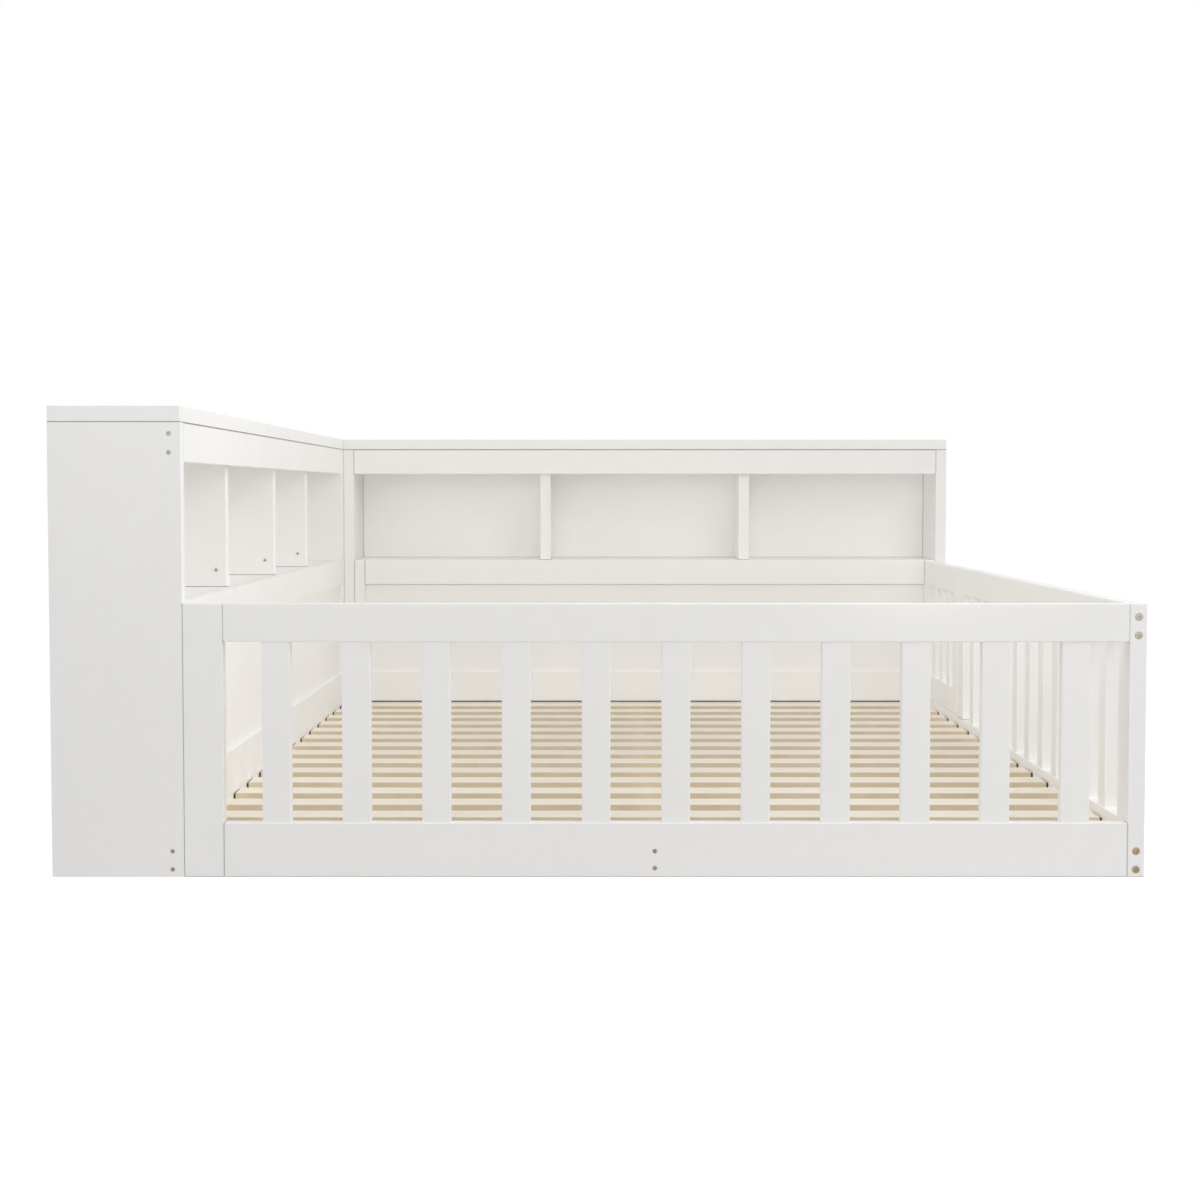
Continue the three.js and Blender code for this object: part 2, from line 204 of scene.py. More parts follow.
class BoardSettings(bpy.types.PropertyGroup):
    """Painted boards and thin panels."""

    edge_radius: FloatProperty(
        name="Edge radius",
        description="Rounding of the painted boards' edges",
        default=0.0013,
        unit="LENGTH",
    )
    fascia_gap: FloatProperty(
        name="Gap over a fascia",
        description="Shadow gap between a fascia and the top board",
        default=0.0004,
        unit="LENGTH",
    )
    panel_edge_radius: FloatProperty(
        name="Panel edge radius",
        description="Rounding of the thin panels' edges",
        default=0.0005,
        unit="LENGTH",
    )
    paint_colour: FloatVectorProperty(
        name="Paint",
        description="White paint of the boards",
        subtype="COLOR",
        min=0,
        max=1,
        default=(0.897, 0.887, 0.872),
    )
    panel_colour: FloatVectorProperty(
        name="Panel paint",
        description="White coating of the thin panels",
        subtype="COLOR",
        min=0,
        max=1,
        default=(0.893, 0.88, 0.86),
    )
    # Painted shade: this near-black colour is painted into the seams and slots between
    # parts and along bottom edges, where shade falls.
    seam_painted_shade: FloatVectorProperty(
        name="Joint",
        description="Dark of the seams and slots between boards",
        subtype="COLOR",
        min=0,
        max=1,
        default=(0.045, 0.036, 0.028),
    )
    # Share of the painted seam shade on rounded edges beside another part.
    seam_share: FloatProperty(
        name="Seam share",
        description="How much of the joint's dark shows on the rounded edges along a seam",
        subtype="FACTOR",
        default=0.34,
        min=0,
        max=1,
    )
    # Share of the painted seam shade on rounded edges that look down, for the shade under a
    # board.
    low_seam_share: FloatProperty(
        name="Low seam share",
        description="The same on rounded edges that look down",
        subtype="FACTOR",
        default=0.6,
        min=0,
        max=1,
    )
    # Faces this near another part get the painted seam shade.
    joint_reach: FloatProperty(
        name="Joint reach",
        description="How near another part lies where a face counts as part of a joint",
        default=0.0035,
        unit="LENGTH",
    )
    # Below this lip the slots at the slats' ends get painted shade.
    slot_lip: FloatProperty(
        name="Slot lip",
        description="How far the light still reaches into the slots at the slats' ends",
        default=0.0022,
        unit="LENGTH",
    )
    # Width of the painted shade line along the boards that hold a thin panel.
    panel_seam: FloatProperty(
        name="Panel seam",
        description="Width of the dark line around a thin panel",
        default=0.0022,
        unit="LENGTH",
    )


class RailingSettings(bpy.types.PropertyGroup):
    """Handrails and balusters."""

    handrail_height: FloatProperty(
        name="Handrail height",
        description="Height of the rail over the balusters",
        default=0.056,
        unit="LENGTH",
    )
    baluster_width: FloatProperty(
        name="Baluster width",
        description="Width of each upright",
        default=0.042,
        unit="LENGTH",
    )
    baluster_thickness: FloatProperty(
        name="Baluster thickness",
        description="Thickness of each upright",
        default=0.021,
        unit="LENGTH",
    )
    front_end_gap: FloatProperty(
        name="Front end gap",
        description="Gap between the front railing's ends and its outer balusters",
        default=0.05675,
        unit="LENGTH",
    )
    side_first_gap: FloatProperty(
        name="Side first gap",
        description="Gap between the corner post and the first baluster",
        default=0.087,
        unit="LENGTH",
    )
    side_last_gap: FloatProperty(
        name="Side last gap",
        description="Gap between the last baluster and the gate post",
        default=0.073,
        unit="LENGTH",
    )
    gate_gap: FloatProperty(
        name="Gate gap",
        description="Gap between the gate's uprights",
        default=0.055,
        unit="LENGTH",
    )
    long_count: IntProperty(
        name="Balusters in a railing",
        description="Balusters in the front railing and in the side railing",
        default=11,
        min=2,
    )
    gate_count: IntProperty(
        name="Balusters in the gate",
        description="Balusters between the gate's stiles",
        default=3,
        min=2,
    )


class DeckSettings(bpy.types.PropertyGroup):
    """Pine slats and what bears them."""

    edge_radius: FloatProperty(
        name="Slat edge radius",
        description="Rounding of the slats' long edges",
        default=0.0012,
        unit="LENGTH",
    )
    face_colour: FloatVectorProperty(
        name="Pine face",
        description="Planed wide faces of the slats",
        subtype="COLOR",
        min=0,
        max=1,
        default=(0.885, 0.83, 0.735),
    )
    streak_colour: FloatVectorProperty(
        name="Pine streaks",
        description="Darker growth rings in the wide faces",
        subtype="COLOR",
        min=0,
        max=1,
        default=(0.82, 0.745, 0.62),
    )
    # The slats' narrow faces: the sawn pine's own tan, made darker as painted shade for the
    # fronts between the slats.
    sawn_and_painted_shade_colour: FloatVectorProperty(
        name="Pine edges",
        description="Narrow faces of the slats",
        subtype="COLOR",
        min=0,
        max=1,
        default=(0.68, 0.565, 0.4),
    )
    # Painted shade: the end batten's pine is made darker to stand for the shade beside the
    # back case.
    batten_painted_shade_brightness: FloatProperty(
        name="Batten brightness",
        description="How bright the end batten's pine is beside the slats'",
        subtype="FACTOR",
        default=0.8,
        min=0,
        max=1,
    )


class HardwareSettings(bpy.types.PropertyGroup):
    """Bolts, cam caps and hinge screws."""

    small_bolt: FloatProperty(
        name="Small bolt",
        description="Diameter of the small bolt heads",
        default=0.0067,
        unit="LENGTH",
    )
    large_bolt: FloatProperty(
        name="Large bolt",
        description="Diameter of the large bolt heads",
        default=0.0114,
        unit="LENGTH",
    )
    bolt_sink: FloatProperty(
        name="Bolt sink",
        description="How far a bolt head lies below the board's face",
        default=0.001,
        unit="LENGTH",
    )
    bore_depth: FloatProperty(
        name="Bore depth",
        description="Depth of the hole that a bolt head lies in",
        default=0.006,
        unit="LENGTH",
    )
    cap_diameter: FloatProperty(
        name="Cam cap",
        description="Diameter of the caps over the dividers' cam locks",
        default=0.014,
        unit="LENGTH",
    )
    screw_diameter: FloatProperty(
        name="Hinge screw",
        description="Diameter of the hinge screws' heads",
        default=0.0064,
        unit="LENGTH",
    )


class StudioSettings(bpy.types.PropertyGroup):
    """Camera and ambient light."""

    camera_place: FloatVectorProperty(
        name="Camera place",
        description="Where the camera stands",
        subtype="TRANSLATION",
        default=(-0.00991, -4.14836, 0.56589),
    )
    camera_tilt: FloatProperty(
        name="Camera tilt",
        description="How far the camera looks down",
        subtype="ANGLE",
        default=0.05082,
    )
    lens: FloatProperty(
        name="Lens",
        description=f"Focal length on a sensor {SENSOR_WIDTH} mm wide",
        default=62.943,
        unit="CAMERA",
    )
    ambient: FloatProperty(
        name="Ambient light",
        description="Strength of the light from all around",
        default=0.35,
        min=0,
    )


def deselect_all():
    """Clears the selection, since an operator acts on all that is selected."""
    if bpy.context.mode != "OBJECT":
        bpy.ops.object.mode_set(mode="OBJECT")
    bpy.ops.object.select_all(action="DESELECT")


def select_only(piece):
    """Makes one object the only selected and the active one."""
    deselect_all()
    piece.select_set(True)
    bpy.context.view_layer.objects.active = piece


def settle(piece, name):
    """Names a new piece and moves its place into its mesh."""
    piece.name = name
    bpy.ops.object.transform_apply(location=True, rotation=True, scale=True)
    return piece


def add_block(name, low, high):
    """A block between two corners."""
    deselect_all()
    low, high = Vector(low), Vector(high)
    bpy.ops.mesh.primitive_cube_add(size=1, location=(low + high) / 2, scale=high - low)
    return settle(bpy.context.active_object, name)


def add_cylinder(vertices, radius, depth, centre, turn):
    """A new cylinder, not yet settled."""
    deselect_all()
    bpy.ops.mesh.primitive_cylinder_add(
        vertices=vertices, radius=radius, depth=depth, location=centre, rotation=turn
    )
    return bpy.context.active_object


def copy_of_node(node, name):
    """A loose copy of a CAD node with its doubles merged and its flat faces made whole."""
    source = frame["nodes"][node]
    piece = source.copy()
    piece.data = source.data.copy()
    piece.name = name
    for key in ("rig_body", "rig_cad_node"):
        del piece[key]
    piece.parent = None
    bpy.context.collection.objects.link(piece)
    select_only(piece)
    bpy.ops.object.mode_set(mode="EDIT")
    bpy.ops.mesh.customdata_custom_splitnormals_clear()
    bpy.ops.mesh.select_all(action="SELECT")
    bpy.ops.mesh.remove_doubles(threshold=MERGED)
    bpy.ops.mesh.dissolve_limited(angle_limit=math.radians(1))
    bpy.ops.object.mode_set(mode="OBJECT")
    return piece


def copy_to(piece, name, offset):
    """A copy of a finished piece with its own mesh, moved by offset."""
    twin = piece.copy()
    twin.data = piece.data.copy()
    twin.data.transform(Matrix.Translation(offset))
    twin.name = name
    bpy.context.collection.objects.link(twin)
    return twin


def apply_bevel(piece, radius, segments, limit):
    """Bevels a piece's sharp or weighted edges and keeps its flat faces flat."""
    bevel = piece.modifiers.new("Rounded edges", "BEVEL")
    bevel.width = radius
    bevel.segments = segments
    bevel.limit_method = limit
    bevel.angle_limit = SHARP_ANGLE
    bevel.harden_normals = True
    bpy.ops.object.modifier_apply(modifier=bevel.name)


def round_edges(piece, radius, segments=3):
    """Rounds every sharp edge."""
    select_only(piece)
    bpy.ops.object.shade_smooth()
    apply_bevel(piece, radius, segments, "ANGLE")


def round_long_edges(piece, radius):
    """Rounds a baluster's four upright edges and leaves its ends square."""
    select_only(piece)
    bpy.ops.object.shade_smooth()
    weights = piece.data.attributes.new("bevel_weight_edge", "FLOAT", "EDGE")
    corners = piece.data.vertices
    for edge, weight in zip(piece.data.edges, weights.data):
        first, second = (corners[index].co for index in edge.vertices)
        upright = abs(first.z - second.z) > UPRIGHT_RISE
        weight.value = 1.0 if upright else 0.0
        edge.use_edge_sharp = not upright
    apply_bevel(piece, radius, 3, "WEIGHT")


def is_rounded(face):
    """True for a face that looks along none of the axes."""
    return max(abs(value) for value in face.normal) < ALONG_AXIS


def narrow_side(face):
    """1 on the upright faces and rounded edges of a slat."""
    return 1.0 if abs(face.normal.z) < 0.5 else 0.0


def mark_faces(piece, share):
    """Writes on each face how much of its material's second tone, mostly painted shade, it
    shows.
    """
    mesh = piece.data
    attribute = mesh.attributes.new("tone_and_painted_shade", "FLOAT", "FACE")
    for face, value in zip(mesh.polygons, attribute.data):
        value.value = share(face)


def near_box(point, box, reach):
    """True for a point in a box or within reach of it."""
    low, high = box
    return all(low[i] - reach < point[i] < high[i] + reach for i in range(3))


def boxes_beside(node, reach, skipped=("balusters", "infill", "hinge_")):
    """The boxes of the same body's nodes within reach of a node.

    A box of balusters is mostly air. A slat's box ends below its top, where light reaches.
    The floor counts as well for a node that stands on it, so that its bottom edges get
    painted shade.
    """
    low, high = NODE_BOXES[node]
    lip = Vector((0, 0, bpy.context.scene.daybed_boards.slot_lip))
    boxes = [FLOOR_BOX] if low.z < TOUCH else []
    for name, (near, far) in NODE_BOXES.items():
        if name == node or BODY_OF[name] != BODY_OF[node]:
            continue
        if any(word in name for word in skipped):
            continue
        if all(near[i] - reach < high[i] and far[i] + reach > low[i] for i in range(3)):
            boxes.append((near, far - lip if name in SLATS else far))
    return boxes


def cut_beside(board, boxes, margins=(0.0,)):
    """Cuts a board's faces where its neighbours begin and end, each by a margin outside."""
    corners = [corner.co for corner in board.data.vertices]
    select_only(board)
    bpy.ops.object.mode_set(mode="EDIT")
    for axis in range(3):
        least = min(corner[axis] for corner in corners) + UNCUT_END
        most = max(corner[axis] for corner in corners) - UNCUT_END
        places = {
            round(place, 5)
            for low, high in boxes
            for margin in margins
            for place in (low[axis] - margin, high[axis] + margin)
        }
        for place in sorted(places):
            if least < place < most:
                point, normal = [0, 0, 0], [0, 0, 0]
                point[axis], normal[axis] = place, 1
                bpy.ops.mesh.select_all(action="SELECT")
                bpy.ops.mesh.bisect(plane_co=point, plane_no=normal)
    bpy.ops.object.mode_set(mode="OBJECT")


def subtract(piece, cutter):
    """Cuts one object out of a piece and removes it."""
    select_only(piece)
    cut = piece.modifiers.new("Cut", "BOOLEAN")
    cut.operation = "DIFFERENCE"
    cut.solver = "EXACT"
    cut.object = cutter
    bpy.ops.object.modifier_apply(modifier=cut.name)
    bpy.data.objects.remove(cutter)


def cut_cross(piece, centre, normal_axis, length, width, depth, turn=0.0):
    """Cuts a cross recess into a face that looks along X, axis 0, or Y, axis 1."""
    scale = [length, length, width]
    scale[normal_axis] = 2 * depth
    for quarter in (0, 90):
        angle = [0, 0, 0]
        angle[normal_axis] = math.radians(turn + quarter)
        deselect_all()
        bpy.ops.mesh.primitive_cube_add(
            size=1, location=centre, rotation=angle, scale=scale
        )
        subtract(piece, bpy.context.active_object)


def drill(board, centre, diameter, depth):
    """Cuts a round hole into a board's front face."""
    subtract(board, add_cylinder(40, diameter / 2, 2 * depth, centre, ALONG_Y))


def trim_top(board, amount):
    """Lowers a board's top face."""
    select_only(board)
    top = max(corner.co.z for corner in board.data.vertices)
    bpy.ops.object.mode_set(mode="EDIT")
    bpy.ops.mesh.select_mode(type="VERT")
    bpy.ops.mesh.select_all(action="DESELECT")
    bpy.ops.object.mode_set(mode="OBJECT")
    for corner in board.data.vertices:
        corner.select = corner.co.z > top - HAIR
    bpy.ops.object.mode_set(mode="EDIT")
    bpy.ops.transform.translate(value=(0, 0, -amount))
    bpy.ops.object.mode_set(mode="OBJECT")


def set_material(piece, material):
    """Gives a piece one material."""
    piece.data.materials.clear()
    piece.data.materials.append(material)


def attach(piece, node):
    """Lets a piece ride with the body of a CAD node."""
    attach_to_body(piece, BODY_OF[node])


def stand_for(piece, node):
    """Lets a piece take the place of a CAD node."""
    attach(piece, node)
    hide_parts(node)


def finish_board(board, node, material, radius, rounding=round_edges):
    """Rounds a board that stands for a CAD node, and paints shade into its seams and slots.
    """
    settings = bpy.context.scene.daybed_boards
    reach = settings.joint_reach
    boxes = boxes_beside(node, reach)

    # Painted shade: faces beside another part or the floor get the seam shade, fully on
    # flat faces, in part on rounded edges, more where they look down.
    def share(face):
        if is_rounded(face):
            if not any(near_box(face.center, box, reach) for box in boxes):
                return 0.0
            looks_down = face.normal.z < -0.1
            return settings.low_seam_share if looks_down else settings.seam_share
        ahead = face.center + face.normal * reach
        return float(any(near_box(ahead, box, HAIR) for box in boxes))

    cut_beside(board, boxes)
    rounding(board, radius)
    mark_faces(board, share)
    set_material(board, material)
    stand_for(board, node)


def finish_painted(board, node, radius_share=1.0, rounding=round_edges):
    """Finishes a painted board that stands for a CAD node."""
    radius = bpy.context.scene.daybed_boards.edge_radius * radius_share
    finish_board(board, node, painted_finish(), radius, rounding)


def painted_board(node):
    """A painted board shaped from its CAD node, with a shadow gap over a fascia."""
    board = copy_of_node(node, f"{node}_board")
    if node.endswith("_fascia"):
        trim_top(board, bpy.context.scene.daybed_boards.fascia_gap)
    finish_painted(board, node)


def thin_panel(node):
    """A thin panel with a painted shade line along the boards that hold it.

    The back case's back panel is also painted dark below its base rail, as painted shade
    for the unlit hollow that shows through the slit over the deck.
    """
    settings = bpy.context.scene.daybed_boards
    width = settings.panel_seam
    skipped = ("balusters", "divider", "base_rail", "deck", "hinge_")
    boxes = boxes_beside(node, TOUCH, skipped)
    slit_top = NODE_BOXES["back_case_base_rail"][0].z
    hollow = (FLOOR_BOX[0], FLOOR_BOX[1] + Vector((0, 0, slit_top)))
    has_hollow = node == "back_case_back_panel"

    # Painted shade: the hollow's face and a strip along each holding board get the seam
    # shade.
    def share(face):
        looks_ahead = face.normal.y < -0.9
        if has_hollow and looks_ahead and face.center.z < slit_top:
            return 1.0
        return settings.seam_share * any(near_box(face.center, box, width) for box in boxes)

    panel = copy_of_node(node, f"{node}_sheet")
    cut_beside(panel, boxes, margins=(0.0, width))
    if has_hollow:
        cut_beside(panel, [hollow])
    round_edges(panel, settings.panel_edge_radius)
    mark_faces(panel, share)
    set_material(panel, panel_finish())
    stand_for(panel, node)


def new_group(name, inputs, outputs):
    """A shader node group with its sockets, and its input and output nodes."""
    tree = bpy.data.node_groups.new(name, "ShaderNodeTree")
    for side, sockets in (("INPUT", inputs), ("OUTPUT", outputs)):
        for label, kind in sockets.items():
            tree.interface.new_socket(
                name=label, in_out=side, socket_type=f"NodeSocket{kind}"
            )
    return tree, tree.nodes.new("NodeGroupInput"), tree.nodes.new("NodeGroupOutput")


def feed(tree, socket, value):
    """Gives a socket a link, a colour or a plain number."""
    if isinstance(value, bpy.types.NodeSocket):
        tree.links.new(value, socket)
    else:
        socket.default_value = (*value, 1) if hasattr(value, "__len__") else value


def add_noise(tree, vector, scale, detail):
    """A noise texture on a vector."""
    noise = tree.nodes.new("ShaderNodeTexNoise")
    noise.inputs["Scale"].default_value = scale
    noise.inputs["Detail"].default_value = detail
    tree.links.new(vector, noise.inputs["Vector"])
    return noise.outputs["Fac"]


def add_mapping(tree, vector, setting, value):
    """A vector changed by a Rotation or a Scale."""
    mapping = tree.nodes.new("ShaderNodeMapping")
    mapping.inputs[setting].default_value = value
    tree.links.new(vector, mapping.inputs["Vector"])
    return mapping.outputs["Vector"]


def add_range(tree, value, low, high):
    """Spreads the middle of a noise over low to high."""
    spread = tree.nodes.new("ShaderNodeMapRange")
    spread.inputs["From Min"].default_value = 0.3
    spread.inputs["From Max"].default_value = 0.7
    feed(tree, spread.inputs["To Min"], low)
    feed(tree, spread.inputs["To Max"], high)
    tree.links.new(value, spread.inputs["Value"])
    return spread.outputs["Result"]


def add_math(tree, operation, first, second):
    """A math node on sockets or plain numbers."""
    node = tree.nodes.new("ShaderNodeMath")
    node.operation = operation
    feed(tree, node.inputs[0], first)
    feed(tree, node.inputs[1], second)
    return node.outputs["Value"]


def add_mix(tree, factor, first, second):
    """A mix of two colours, each a socket or plain values."""
    node = tree.nodes.new("ShaderNodeMix")
    node.data_type = "RGBA"
    tree.links.new(factor, node.inputs["Factor"])
    feed(tree, node.inputs[6], first)
    feed(tree, node.inputs[7], second)
    return node.outputs[2]


def object_vector(tree):
    """Object coordinates, which are the row frame on every piece."""
    return tree.nodes.new("ShaderNodeTexCoord").outputs["Object"]


def sprayed_paint_group():
    """Cloudy shade, cloudy gloss and the fine peel of sprayed paint."""
    name = "Sprayed paint"
    if name in bpy.data.node_groups:
        return bpy.data.node_groups[name]
    tree, entry, result = new_group(
        name,
        {
            "Colour": "Color",
            "Shaded colour": "Color",
            "Least roughness": "Float",
            "Most roughness": "Float",
        },
        GROUP_OUTPUTS,
    )
    place = object_vector(tree)
    clouds = add_noise(tree, place, scale=3.1, detail=4)
    haze = add_noise(tree, place, scale=38, detail=3)
    peel = add_noise(tree, place, scale=620, detail=2)
    cloudy = add_math(tree, "MULTIPLY", clouds, 0.7)
    hazy = add_math(tree, "MULTIPLY", haze, 0.3)
    blend = add_range(tree, add_math(tree, "ADD", cloudy, hazy), 0, 1)
    colour = add_mix(tree, blend, entry.outputs["Colour"], entry.outputs["Shaded colour"])
    least, most = entry.outputs["Least roughness"], entry.outputs["Most roughness"]
    roughness = add_range(tree, haze, least, most)
    tree.links.new(colour, result.inputs["Colour"])
    tree.links.new(roughness, result.inputs["Roughness"])
    tree.links.new(peel, result.inputs["Height"])
    return tree


def tone_and_painted_shade_group():
    """Another tone where the faces carry it, broken up by noise: mostly painted shade in
    seams, slots and recesses, and the slats' sawn tone.
    """
    name = "Second tone"
    if name in bpy.data.node_groups:
        return bpy.data.node_groups[name]
    tree, entry, result = new_group(
        name,
        {"Colour": "Color", "Second colour": "Color", "Least share": "Float"},
        {"Colour": "Color"},
    )
    mark = tree.nodes.new("ShaderNodeAttribute")
    mark.attribute_name = "tone_and_painted_shade"
    noise = add_noise(tree, object_vector(tree), scale=24, detail=3)
    patches = add_range(tree, noise, entry.outputs["Least share"], 1)
    factor = add_math(tree, "MULTIPLY", mark.outputs["Fac"], patches)
    colour = add_mix(tree, factor, entry.outputs["Colour"], entry.outputs["Second colour"])
    tree.links.new(colour, result.inputs["Colour"])
    return tree


def pine_grain_group():
    """Growth rings and fibres that run along the vector's X."""
    name = "Pine grain"
    if name in bpy.data.node_groups:
        return bpy.data.node_groups[name]
    tree, entry, result = new_group(
        name,
        {"Vector": "Vector", "Face colour": "Color", "Streak colour": "Color"},
        GROUP_OUTPUTS,
    )
    place = add_mapping(tree, entry.outputs["Vector"], "Scale", (0.06, 1, 1))
    rings = tree.nodes.new("ShaderNodeTexWave")
    rings.bands_direction = "Y"
    for label, value in RINGS.items():
        rings.inputs[label].default_value = value
    tree.links.new(place, rings.inputs["Vector"])
    fibres = add_noise(tree, place, scale=760, detail=3)
    boards = add_noise(tree, place, scale=9, detail=1)
    ring_share = add_math(tree, "MULTIPLY", rings.outputs["Fac"], 0.45)
    fibre_share = add_math(tree, "MULTIPLY", add_range(tree, fibres, 0, 1), 0.25)
    board_share = add_math(tree, "MULTIPLY", add_range(tree, boards, 0, 1), 0.3)
    grain = add_math(tree, "ADD", ring_share, fibre_share)
    factor = add_math(tree, "ADD", grain, board_share)
    face, streak = entry.outputs["Face colour"], entry.outputs["Streak colour"]
    colour = add_mix(tree, factor, face, streak)
    tree.links.new(colour, result.inputs["Colour"])
    tree.links.new(add_range(tree, fibres, 0.5, 0.66), result.inputs["Roughness"])
    tree.links.new(fibres, result.inputs["Height"])
    return tree


def new_finish(name, roughness=0.5, metallic=0.0):
    """A material with a Principled shader, its tree and that shader."""
    material = bpy.data.materials.new(name)
    material.use_nodes = True
    shader = material.node_tree.nodes["Principled BSDF"]
    shader.inputs["Roughness"].default_value = roughness
    shader.inputs["Metallic"].default_value = metallic
    return material, material.node_tree, shader


def place_group(tree, group, **values):
    """A group node with its plain inputs set."""
    node = tree.nodes.new("ShaderNodeGroup")
    node.node_tree = group
    for label, value in values.items():
        feed(tree, node.inputs[label.replace("_", " ")], value)
    return node


def add_bump(tree, shader, height, strength, distance):
    """A bump on a shader's normal."""
    bump = tree.nodes.new("ShaderNodeBump")
    bump.inputs["Strength"].default_value = strength
    bump.inputs["Distance"].default_value = distance
    tree.links.new(height, bump.inputs["Height"])
    tree.links.new(bump.outputs["Normal"], shader.inputs["Normal"])


def lay_finish(tree, shader, base, tone, relief):
    """Leads a group's colour, through the second tone, gloss and relief to a shader."""
    tree.links.new(base.outputs["Colour"], tone.inputs["Colour"])
    tree.links.new(tone.outputs["Colour"], shader.inputs["Base Color"])
    tree.links.new(base.outputs["Roughness"], shader.inputs["Roughness"])
    add_bump(tree, shader, base.outputs["Height"], relief, RELIEF)


def paint(name, colour, shade, second, least, most):
    """Sprayed paint with its own colours and gloss, and painted shade on marked faces."""
    if name in bpy.data.materials:
        return bpy.data.materials[name]
    material, tree, shader = new_finish(name)
    coat = place_group(
        tree,
        sprayed_paint_group(),
        Colour=colour,
        Shaded_colour=shaded_by(colour, shade),
        Least_roughness=least,
        Most_roughness=most,
    )
    tone = place_group(tree, tone_and_painted_shade_group(), Second_colour=second, Least_share=0.85)
    lay_finish(tree, shader, coat, tone, relief=0.12)
    return material


def shaded_by(colour, share):
    """A colour made darker by a share."""
    return tuple(value * share for value in colour)


def painted_finish():
    """Satin white paint of the boards."""
    settings = bpy.context.scene.daybed_boards
    # The second colour is the painted seam shade.
    colour, joint = settings.paint_colour, settings.seam_painted_shade
    return paint("White paint", colour, 0.975, joint, least=0.38, most=0.48)


def panel_finish():
    """Duller white coating of the thin panels."""
    settings = bpy.context.scene.daybed_boards
    # The second colour is the painted seam shade.
    colour, joint = settings.panel_colour, settings.seam_painted_shade
    return paint("White panel coating", colour, 0.97, joint, least=0.5, most=0.62)


def plastic_finish():
    """White plastic of the cam caps, with painted shade inside the cross."""
    return paint("Cap plastic", CAP_COLOUR, 0.98, CROSS_PAINTED_SHADE, least=0.3, most=0.36)


def pine_finish(name, turned, second, brightness=1.0):
    """Planed pine with its second tone, made darker by brightness for painted shade; the
    grain runs along X, or along Y where turned.
    """
    if name in bpy.data.materials:
        return bpy.data.materials[name]
    settings = bpy.context.scene.daybed_deck
    material, tree, shader = new_finish(name)
    turn = (0, 0, math.radians(90 if turned else 0))
    place = add_mapping(tree, object_vector(tree), "Rotation", turn)
    grain = place_group(
        tree,
        pine_grain_group(),
        Face_colour=shaded_by(settings.face_colour, brightness),
        Streak_colour=shaded_by(settings.streak_colour, brightness),
    )
    tree.links.new(place, grain.inputs["Vector"])
    tone = place_group(tree, tone_and_painted_shade_group(), Second_colour=second, Least_share=0.75)
    lay_finish(tree, shader, grain, tone, relief=0.25)
    return material


def metal_finish(name):
    """Metal with streaks, or with even grain where its stretch is 1."""
    if name in bpy.data.materials:
        return bpy.data.materials[name]
    colour, dark, roughness, stretch = METALS[name]
    material, tree, shader = new_finish(name, metallic=1.0)
    place = object_vector(tree)
    along = add_mapping(tree, place, "Scale", (1, 1, stretch))
    lines = add_noise(tree, along, scale=900, detail=3)
    stains = add_noise(tree, place, scale=160, detail=3)
    stained = add_mix(tree, add_range(tree, stains, 0, 1), colour, dark)
    gloss = add_range(tree, lines, roughness * 0.8, roughness * 1.25)
    tree.links.new(stained, shader.inputs["Base Color"])
    tree.links.new(gloss, shader.inputs["Roughness"])
    add_bump(tree, shader, lines, strength=0.15, distance=0.0001)
    return material


def bolt_head(name, centre, diameter, material):
    """A bolt head with a hexagon socket, looking to the front from a board's hole."""
    sink = bpy.context.scene.daybed_hardware.bolt_sink
    depth = bpy.context.scene.daybed_hardware.bore_depth - sink
    rim, rise, socket_radius = diameter * 0.09, sink * 0.4, diameter * 0.24
    x, front, z = centre[0], centre[1] + sink, centre[2]
    middle = (x, front + depth / 2, z)
    head = settle(add_cylinder(36, diameter / 2 - HAIR, depth, middle, ALONG_Y), name)
    bpy.ops.object.mode_set(mode="EDIT")
    bpy.ops.mesh.select_mode(type="FACE")
    bpy.ops.mesh.select_all(action="DESELECT")
    bpy.ops.object.mode_set(mode="OBJECT")
    for face in head.data.polygons:
        face.select = face.normal.y < -0.99
    bpy.ops.object.mode_set(mode="EDIT")
    bpy.ops.mesh.inset(thickness=rim)
    bpy.ops.transform.translate(value=(0, -rise, 0))
    bpy.ops.object.mode_set(mode="OBJECT")
    subtract(head, add_cylinder(6, socket_radius, SOCKET_CUTTER, (x, front, z), ALONG_Y))
    bpy.ops.object.shade_smooth_by_angle(angle=math.radians(30))
    set_material(head, material)
    return head


class DAYBED_OT_side_case(bpy.types.Operator):
    """Boards of the long case, but for its bolted front panel"""

    bl_idname = "daybed.side_case"
    bl_label = "Side case"

    def execute(self, context):
        for node in SIDE_CASE_BOARDS:
            painted_board(node)
        return {"FINISHED"}


class DAYBED_OT_back_case(bpy.types.Operator):
    """Boards of the case across the back"""

    bl_idname = "daybed.back_case"
    bl_label = "Back case"

    def execute(self, context):
        for node in BACK_CASE_BOARDS:
            painted_board(node)
        return {"FINISHED"}


class DAYBED_OT_thin_panels(bpy.types.Operator):
    """Infill and back panels of both cases"""

    bl_idname = "daybed.thin_panels"
    bl_label = "Thin panels"

    def execute(self, context):
        for node in THIN_PANELS:
            thin_panel(node)
        return {"FINISHED"}


